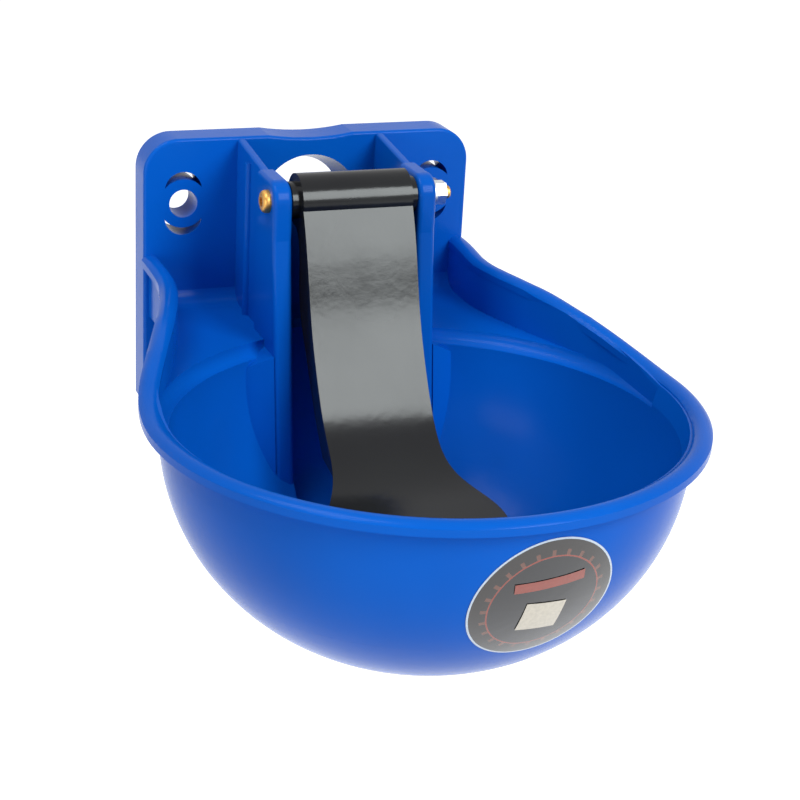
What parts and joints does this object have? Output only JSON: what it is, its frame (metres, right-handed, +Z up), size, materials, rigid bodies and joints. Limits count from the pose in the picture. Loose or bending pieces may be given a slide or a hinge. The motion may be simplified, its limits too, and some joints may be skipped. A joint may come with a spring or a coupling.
{
  "type": "livestock drinking bowl",
  "caption": "Wall-hung plastic drinking bowl for cattle or horses, with a nose-pressed paddle on a hinge bolt that pushes open a brass water valve and springs back.",
  "frame": {"origin": "midway between the two wall bolts, on the wall plane", "axes": "+X to the right as the user sees it, +Y into the wall, so the bowl stands out along -Y, +Z up"},
  "size_m": [0.238, 0.2972, 0.1812],
  "materials": {
    "bowl_plastic": "glossy blue polyethylene",
    "paddle_plastic": "glossy black nylon",
    "zinc_yellow": "yellow zinc-plated steel",
    "zinc_white": "bright zinc-plated steel",
    "steel": "stainless steel",
    "brass": "turned brass",
    "rubber": "black nitrile rubber",
    "strainer_plastic": "natural acetal"
  },
  "bodies": {
    "bowl": {"wall_plate": "bowl_plastic", "bowl_rim": "bowl_plastic", "bowl_side": "bowl_plastic", "bowl_bottom": "bowl_plastic", "channel_floor": "bowl_plastic", "cheek_left": "bowl_plastic", "cheek_right": "bowl_plastic", "hinge_bolt": "zinc_yellow", "hinge_washer": "zinc_white", "hinge_nut": "zinc_white", "valve_body": "brass", "valve_gasket": "rubber", "lock_washer": "steel", "lock_nut": "brass", "gland_nut": "brass", "stem_oring": "rubber", "spring_retainer": "brass", "retainer_clip": "steel", "inlet_strainer": "strainer_plastic", "flow_screw": "brass", "return_spring": "steel"},
    "hinge": {"hinge_sleeve": "steel"},
    "paddle": {"paddle": "paddle_plastic"},
    "valve_stem": {"valve_stem": "brass", "stem_cap": "strainer_plastic", "valve_washer": "rubber"}
  },
  "joints": [
    {"name": "paddle_press", "type": "hinge", "parent": "bowl", "child": "hinge", "pos_m": [0, -0.0742, 0.0162], "axis": [1, 0, 0], "range_deg": [0, 9], "stiffness_Nm_per_rad": 0.2, "springref_deg": -17.19},
    {"name": "paddle_lift", "type": "hinge", "parent": "hinge", "child": "paddle", "pos_m": [0, -0.0742, 0.0162], "axis": [1, 0, 0], "range_deg": [-75, 0]},
    {"name": "valve_push", "type": "slide", "parent": "bowl", "child": "valve_stem", "axis": [0, 1, 0], "range_m": [0, 0.003], "deforming": ["return_spring"]}
  ],
  "couplings": [
    {"joint": "paddle_press", "follows": "valve_push", "rad_per_m": 49.5}
  ]
}
